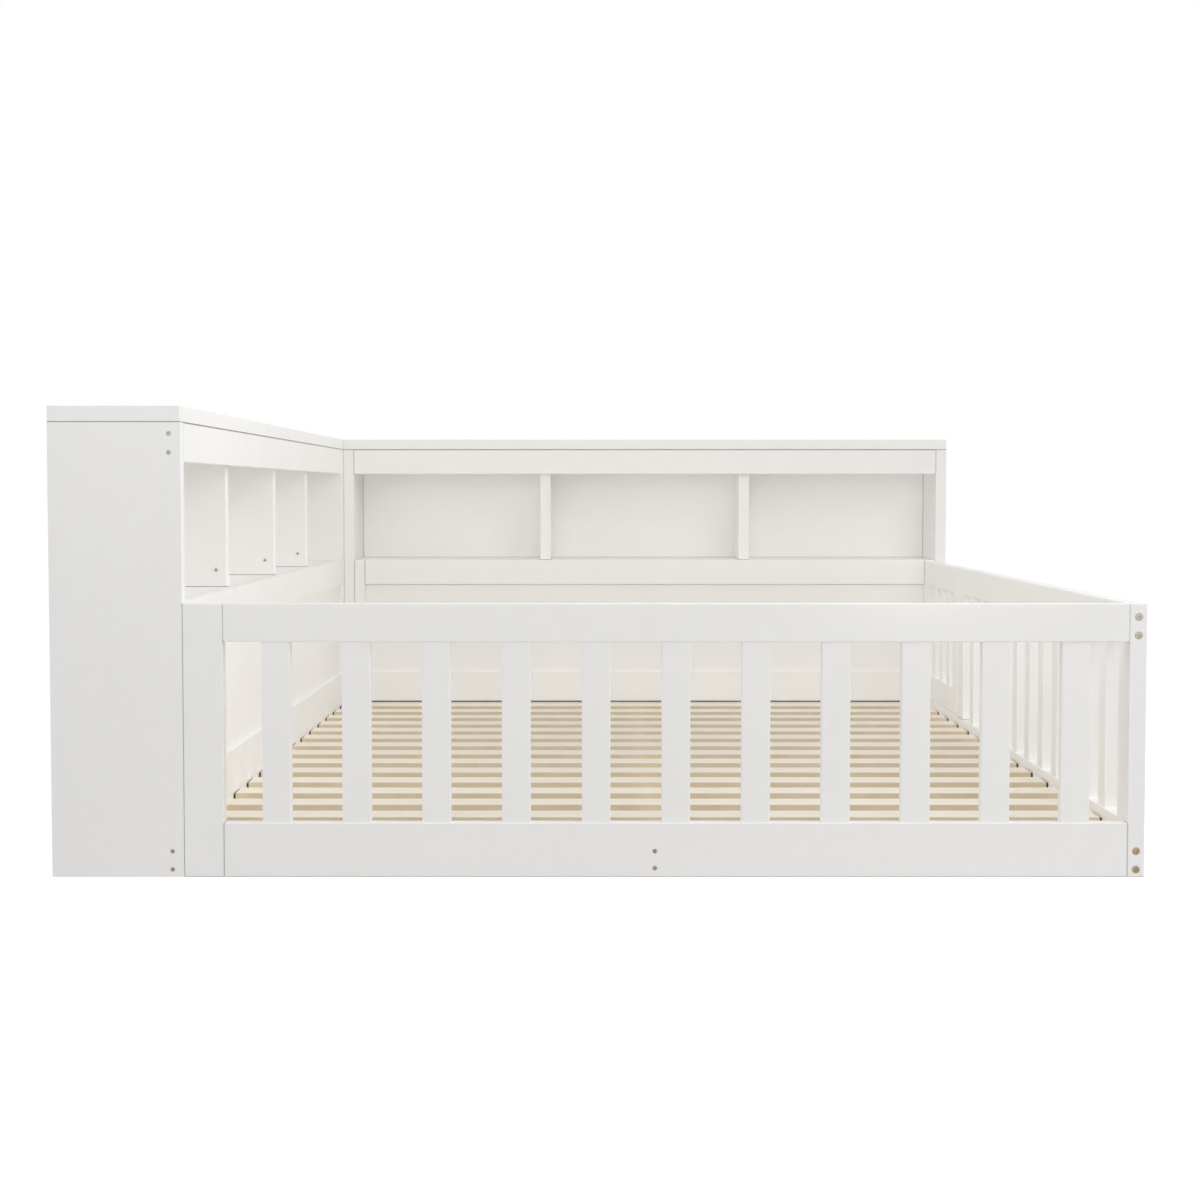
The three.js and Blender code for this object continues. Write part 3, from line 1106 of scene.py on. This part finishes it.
class DAYBED_OT_deck(bpy.types.Operator):
    """Pine slats, end batten, ledgers and centre beam"""

    bl_idname = "daybed.deck"
    bl_label = "Slatted deck"

    def execute(self, context):
        settings = context.scene.daybed_deck
        seam_painted_shade = context.scene.daybed_boards.seam_painted_shade
        low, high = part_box(SLATS[0])
        slat = add_block(f"{SLATS[0]}_board", low, high)
        round_edges(slat, settings.edge_radius)
        # The narrow faces get the sawn colour, partly painted shade.
        mark_faces(slat, narrow_side)
        set_material(slat, pine_finish("Pine slat", False, settings.sawn_and_painted_shade_colour))
        boards = [slat]
        for node in SLATS[1:]:
            boards.append(copy_to(slat, f"{node}_board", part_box(node)[0] - low))
        for node, board in zip(SLATS, boards):
            stand_for(board, node)
        for node in ("deck_end_batten", *DECK_BEARERS):
            turned = node in DECK_BEARERS
            name = "Pine bearer" if turned else "Pine batten"
            # The batten's pine is darkened as painted shade.
            brightness = 1.0 if turned else settings.batten_painted_shade_brightness
            finish = pine_finish(name, turned, seam_painted_shade, brightness)
            bearer = copy_of_node(node, f"{node}_board")
            finish_board(bearer, node, finish, settings.edge_radius)
        return {"FINISHED"}


def railing_pieces(railing, axis, first_gap, last_gap, count):
    """A handrail and its balusters, each a board of its own, in place of one CAD node."""
    settings = bpy.context.scene.daybed_railings
    node = f"{railing}_balusters"
    low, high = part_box(node)
    across = 1 - axis
    rail_bottom = high.z - settings.handrail_height
    rail = add_block(f"{railing}_handrail", (low.x, low.y, rail_bottom), high)
    finish_painted(rail, node)
    inset = (high[across] - low[across] - settings.baluster_thickness) / 2
    start = low[axis] + first_gap
    end = high[axis] - last_gap - settings.baluster_width
    near, far = low.copy(), high.copy()
    near[axis] = start
    far[axis] = start + settings.baluster_width
    near[across] += inset
    far[across] -= inset
    far.z = rail_bottom
    baluster = add_block(f"{railing}_baluster_01", near, far)
    finish_painted(baluster, node, rounding=round_long_edges)
    for number in range(1, count):
        offset = Vector((0, 0, 0))
        offset[axis] = (end - start) * number / (count - 1)
        twin = copy_to(baluster, f"{railing}_baluster_{number + 1:02d}", offset)
        stand_for(twin, node)


class DAYBED_OT_front_railing(bpy.types.Operator):
    """Post, handrail and balusters of the front"""

    bl_idname = "daybed.front_railing"
    bl_label = "Front railing"

    def execute(self, context):
        settings = context.scene.daybed_railings
        gap = settings.front_end_gap
        painted_board("front_railing_post")
        railing_pieces("front_railing", 0, gap, gap, settings.long_count)
        return {"FINISHED"}


class DAYBED_OT_side_railing(bpy.types.Operator):
    """Handrail, balusters, bed rail and gate post of the right side"""

    bl_idname = "daybed.side_railing"
    bl_label = "Side railing"

    def execute(self, context):
        settings = context.scene.daybed_railings
        painted_board("side_bed_rail")
        painted_board("gate_post")
        gaps = settings.side_first_gap, settings.side_last_gap
        railing_pieces("side_railing", 1, *gaps, settings.long_count)
        return {"FINISHED"}


class DAYBED_OT_gate(bpy.types.Operator):
    """Stiles, rails and balusters of the gate"""

    bl_idname = "daybed.gate"
    bl_label = "Gate"

    def execute(self, context):
        settings = context.scene.daybed_railings
        gap = settings.gate_gap
        for node in ("gate_hinge_stile", "gate_free_stile", "gate_bottom_rail"):
            painted_board(node)
        railing_pieces("gate", 1, gap, gap, settings.gate_count)
        return {"FINISHED"}


def bolted_board(node, x, heights, diameter):
    """A painted board with a column of bolt heads in holes in its front face."""
    depth = bpy.context.scene.daybed_hardware.bore_depth
    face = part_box(node)[0].y
    board = copy_of_node(node, f"{node}_board")
    for height in heights:
        drill(board, (x, face, height), diameter, depth)
    finish_painted(board, node, BOLTED_EDGE_SHARE)
    for number, height in enumerate(heights, 1):
        finish = metal_finish("Olive plating" if height > OLIVE_ABOVE else "Bronze plating")
        place = (x, face, height)
        head = bolt_head(f"{node}_bolt_{number}", place, diameter - BOLT_PLAY, finish)
        attach(head, node)


class DAYBED_OT_bolted_boards(bpy.types.Operator):
    """Front panel, bed rail and corner post with their bolts"""

    bl_idname = "daybed.bolted_boards"
    bl_label = "Bolted boards"

    def execute(self, context):
        settings = context.scene.daybed_hardware
        small, large = settings.small_bolt, settings.large_bolt
        panel_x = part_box("side_case_front_panel")[1].x - PANEL_BOLT_INSET
        beam_low, beam_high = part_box("deck_centre_beam")
        beam_x = (beam_low.x + beam_high.x) / 2 + BEAM_BOLT_SHIFT
        post_low, post_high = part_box("side_railing_corner_post")
        post_x = (post_low.x + post_high.x) / 2 + POST_BOLT_SHIFT
        bolted_board("side_case_front_panel", panel_x, PANEL_BOLTS, small)
        bolted_board("front_bed_rail", beam_x, BEAM_BOLTS, small)
        bolted_board("side_railing_corner_post", post_x, POST_BOLTS, large)
        return {"FINISHED"}


class DAYBED_OT_cam_caps(bpy.types.Operator):
    """Plastic caps over the cam locks in the side case's dividers"""

    bl_idname = "daybed.cam_caps"
    bl_label = "Cam caps"

    def execute(self, context):
        radius = context.scene.daybed_hardware.cap_diameter / 2
        slot, cross_depth, inside = radius * 0.22, CAP_THICKNESS * 0.8, radius * 0.7
        for number in (1, 2, 3):
            node = f"side_case_divider_{number}"
            low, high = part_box(node)
            centre = Vector((high.x - CAP_INSET, low.y, low.z + CAP_HEIGHT))
            middle = centre - Vector((0, CAP_THICKNESS / 2 - CAP_SINK, 0))
            cap = add_cylinder(48, radius, CAP_THICKNESS, middle, ALONG_Y)
            settle(cap, f"cam_cap_{number}")
            front = centre.y - CAP_THICKNESS + CAP_SINK
            cut_cross(cap, (centre.x, front, centre.z), 1, radius, slot, cross_depth)
            round_edges(cap, CAP_EDGE, 2)
            # Painted shade on the faces inside the cross.
            mark_faces(
                cap,
                lambda face: float(
                    face.center.y > front + CROSS_LIT
                    and abs(face.center.x - centre.x) < inside
                    and abs(face.center.z - centre.z) < inside
                ),
            )
            set_material(cap, plastic_finish())
            attach(cap, node)
        return {"FINISHED"}


class DAYBED_OT_hinges(bpy.types.Operator):
    """Steel on the hinge leaves, and a column of screws in each"""

    bl_idname = "daybed.hinges"
    bl_label = "Hinges"

    def execute(self, context):
        radius = context.scene.daybed_hardware.screw_diameter / 2
        cross = radius * 1.1, radius * 0.22, SCREW_RISE * 0.6
        for node in HINGE_LEAVES:
            set_material(frame["nodes"][node], metal_finish("Satin steel"))
            low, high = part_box(node)
            y = low.y + SCREW_INSET if node.endswith("post_leaf") else high.y - SCREW_INSET
            face = low.x + LEAF_THICKNESS
            for number in SCREWS:
                z = low.z + (high.z - low.z) * (number * 2 - 1) / (2 * len(SCREWS))
                middle = (face + SCREW_RISE / 2, y, z)
                screw = add_cylinder(32, radius, SCREW_RISE, middle, ALONG_X)
                settle(screw, f"{node}_screw_{number}")
                cut_cross(screw, (face + SCREW_RISE, y, z), 0, *cross, turn=20 * number)
                round_edges(screw, SCREW_EDGE, 2)
                set_material(screw, metal_finish("Plated screw"))
                attach(screw, node)
        return {"FINISHED"}


def add_lamp(name, place, target, size, power, cone=0):
    """A lamp that looks at a target: a square one, or a spot with a cone in degrees."""
    aim = Vector(target) - Vector(place)
    bpy.ops.object.light_add(
        type="SPOT" if cone else "AREA",
        location=place,
        rotation=aim.to_track_quat("-Z", "Y").to_euler(),
    )
    lamp = bpy.context.active_object
    lamp.name = name
    lamp.data.energy = power
    if cone:
        lamp.data.spot_size = math.radians(cone)
        lamp.data.spot_blend = 1
        lamp.data.shadow_soft_size = size
    else:
        lamp.data.size = size


def add_sun(name, azimuth, elevation, strength, softness=0.0):
    """A distant light; without softness it casts no shadows and gives no highlights.

    The azimuth goes from the front, 0, to the right, 90.
    """
    turn, rise = math.radians(azimuth), math.radians(elevation)
    level = math.cos(rise)
    source = Vector((math.sin(turn) * level, -math.cos(turn) * level, math.sin(rise)))
    bpy.ops.object.light_add(
        type="SUN", rotation=(-source).to_track_quat("-Z", "Y").to_euler()
    )
    lamp = bpy.context.active_object
    lamp.name = name
    lamp.data.energy = strength
    lamp.data.angle = math.radians(softness)
    lamp.data.use_shadow = softness > 0
    lamp.visible_glossy = softness > 0


def seen_directly(tree):
    """1 for camera, glossy and transmission rays, which are to see plain white."""
    rays = tree.nodes.new("ShaderNodeLightPath").outputs
    seen = add_math(tree, "MAXIMUM", rays["Is Camera Ray"], rays["Is Glossy Ray"])
    return add_math(tree, "MAXIMUM", seen, rays["Is Transmission Ray"])


def add_white(tree, kind, strength):
    """A white background or emission."""
    node = tree.nodes.new(kind)
    node.inputs["Color"].default_value = (1, 1, 1, 1)
    node.inputs["Strength"].default_value = strength
    return node.outputs[0]


def mix_to_surface(tree, output, share, first, second):
    """Mixes two shaders by a share into an output's surface."""
    choice = tree.nodes.new("ShaderNodeMixShader")
    for socket, source in zip(choice.inputs, (share, first, second)):
        tree.links.new(source, socket)
    tree.links.new(choice.outputs[0], output.inputs["Surface"])


def studio_world(ambient):
    """White to the eye, and an even dimmer light on everything."""
    world = bpy.data.worlds.new("Studio")
    world.use_nodes = True
    tree = world.node_tree
    tree.nodes.clear()
    light = add_white(tree, "ShaderNodeBackground", ambient)
    white = add_white(tree, "ShaderNodeBackground", 1)
    output = tree.nodes.new("ShaderNodeOutputWorld")
    mix_to_surface(tree, output, seen_directly(tree), light, white)
    return world


def floor_finish():
    """A pale floor that keeps a light shadow of the bed."""
    material, tree, shader = new_finish("Pale floor", roughness=0.9)
    shader.inputs["Base Color"].default_value = (FLOOR_GREY, FLOOR_GREY, FLOOR_GREY, 1)
    shader.inputs["Specular IOR Level"].default_value = 0.1
    white = add_white(tree, "ShaderNodeEmission", FLOOR_WHITE)
    share = add_math(tree, "MULTIPLY", seen_directly(tree), FLOOR_WHITE_SHARE)
    mix_to_surface(tree, tree.nodes["Material Output"], share, shader.outputs[0], white)
    return material


class DAYBED_OT_studio(bpy.types.Operator):
    """Floor, lamps, world light and camera"""

    bl_idname = "daybed.studio"
    bl_label = "Studio"

    def execute(self, context):
        settings = context.scene.daybed_studio
        deselect_all()
        bpy.ops.mesh.primitive_plane_add(size=FLOOR_SIZE, location=(0, 0, -FLOOR_DROP))
        floor = bpy.context.active_object
        floor.name = "studio_floor"
        set_material(floor, floor_finish())
        context.scene.world = studio_world(settings.ambient)
        for lamp in LAMPS:
            add_lamp(*lamp)
        for sun in SUNS:
            add_sun(*sun)
        bpy.ops.object.camera_add(
            location=settings.camera_place,
            rotation=(math.radians(90) - settings.camera_tilt, 0, 0),
        )
        camera = bpy.context.active_object
        camera.name = "photo_camera"
        camera.data.sensor_width = SENSOR_WIDTH
        camera.data.sensor_fit = "HORIZONTAL"
        camera.data.lens = settings.lens
        camera.data.clip_end = VIEW_END
        context.scene.camera = camera
        context.scene.view_settings.view_transform = "Standard"
        return {"FINISHED"}


class DAYBED_PT_panel(bpy.types.Panel):
    """Lists the steps in the sidebar"""

    bl_idname = "DAYBED_PT_panel"
    bl_label = "Daybed"
    bl_space_type = "VIEW_3D"
    bl_region_type = "UI"
    bl_category = "Daybed"

    def draw(self, context):
        for operator in OPERATORS:
            self.layout.operator(operator.bl_idname)


OPERATORS = (
    DAYBED_OT_side_case,
    DAYBED_OT_back_case,
    DAYBED_OT_thin_panels,
    DAYBED_OT_deck,
    DAYBED_OT_front_railing,
    DAYBED_OT_side_railing,
    DAYBED_OT_gate,
    DAYBED_OT_bolted_boards,
    DAYBED_OT_cam_caps,
    DAYBED_OT_hinges,
    DAYBED_OT_studio,
)
SETTINGS = {
    "daybed_boards": BoardSettings,
    "daybed_railings": RailingSettings,
    "daybed_deck": DeckSettings,
    "daybed_hardware": HardwareSettings,
    "daybed_studio": StudioSettings,
}


def register():
    """Registers the settings, the operators and the panel."""
    for name, group in SETTINGS.items():
        bpy.utils.register_class(group)
        setattr(bpy.types.Scene, name, PointerProperty(type=group))
    for operator in OPERATORS:
        bpy.utils.register_class(operator)
    bpy.utils.register_class(DAYBED_PT_panel)


def unregister():
    """Takes all of it away again."""
    bpy.utils.unregister_class(DAYBED_PT_panel)
    for operator in reversed(OPERATORS):
        bpy.utils.unregister_class(operator)
    for name, group in SETTINGS.items():
        delattr(bpy.types.Scene, name)
        bpy.utils.unregister_class(group)


def main():
    """Runs every step."""
    register()
    bpy.ops.daybed.side_case()
    bpy.ops.daybed.back_case()
    bpy.ops.daybed.thin_panels()
    bpy.ops.daybed.deck()
    bpy.ops.daybed.front_railing()
    bpy.ops.daybed.side_railing()
    bpy.ops.daybed.gate()
    bpy.ops.daybed.bolted_boards()
    bpy.ops.daybed.cam_caps()
    bpy.ops.daybed.hinges()
    bpy.ops.daybed.studio()


if __name__ == "__main__":
    main()
